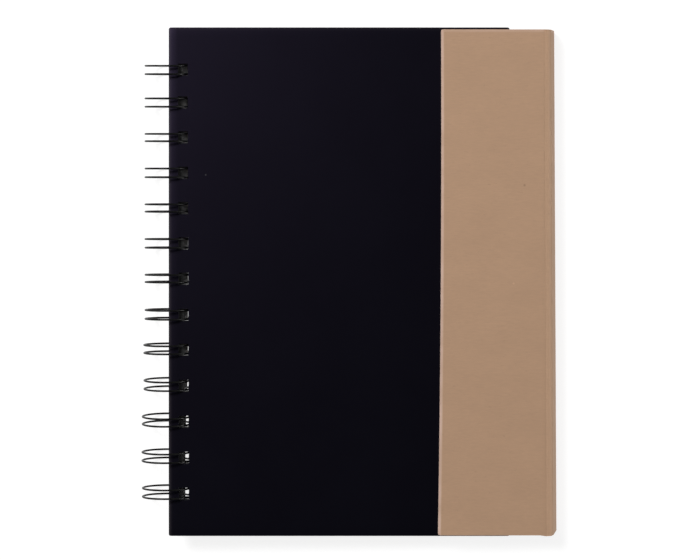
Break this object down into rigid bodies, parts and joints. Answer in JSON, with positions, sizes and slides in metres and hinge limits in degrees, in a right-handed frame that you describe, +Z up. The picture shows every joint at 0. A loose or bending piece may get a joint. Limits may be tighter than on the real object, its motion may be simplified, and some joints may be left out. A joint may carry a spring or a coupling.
{
  "type": "wire-bound notebook",
  "caption": "Hardcover notebook on black twin-loop wire, with a kraft case that rises round the fore-edge and closes as a flap over the black front cover.",
  "frame": {"origin": "centre of the bounding box on the table, under the middle of the book", "axes": "+Z up, +Y along the spine, +X from the wire spine to the fore-edge"},
  "size_m": [0.148, 0.181, 0.0174],
  "materials": {
    "kraft_paper": "matt unbleached kraft paper with faint fibres",
    "black_cover_paper": "smooth matt black covering paper",
    "grey_board": "grey bookbinding board",
    "page_paper": "uncoated writing paper, edges of the sheets",
    "black_coated_wire": "black nylon-coated steel wire, satin",
    "steel_disc": "thin steel disc",
    "magnet": "nickel-plated magnet"
  },
  "bodies": {
    "book": {"back_cover_wrap": "kraft_paper", "back_cover_board": "grey_board", "back_cover_liner": "kraft_paper", "lower_hinge_paper": "kraft_paper", "page_block": "page_paper", "front_cover_wrap": "black_cover_paper", "front_cover_board": "grey_board", "front_cover_liner": "black_cover_paper", "front_cover_disc_top": "steel_disc", "front_cover_disc_bottom": "steel_disc", "twin_loop_wire": "black_coated_wire"},
    "fore_edge": {"fore_edge_wrap": "kraft_paper", "fore_edge_board": "grey_board", "fore_edge_liner": "kraft_paper", "upper_hinge_paper": "kraft_paper"},
    "flap": {"flap_wrap": "kraft_paper", "flap_board": "grey_board", "flap_liner": "kraft_paper", "flap_magnet_top": "magnet", "flap_magnet_bottom": "magnet"}
  },
  "joints": [
    {"name": "fore_edge_hinge", "type": "hinge", "parent": "book", "child": "fore_edge", "pos_m": [0.07372, 0, 0.00081], "axis": [0, 1, 0], "range_deg": [0, 102.5], "deforming": ["lower_hinge_paper"]},
    {"name": "flap_hinge", "type": "hinge", "parent": "fore_edge", "child": "flap", "pos_m": [0.0714, 0, 0.01304], "axis": [0, 1, 0], "range_deg": [0, 76], "deforming": ["upper_hinge_paper"]}
  ]
}
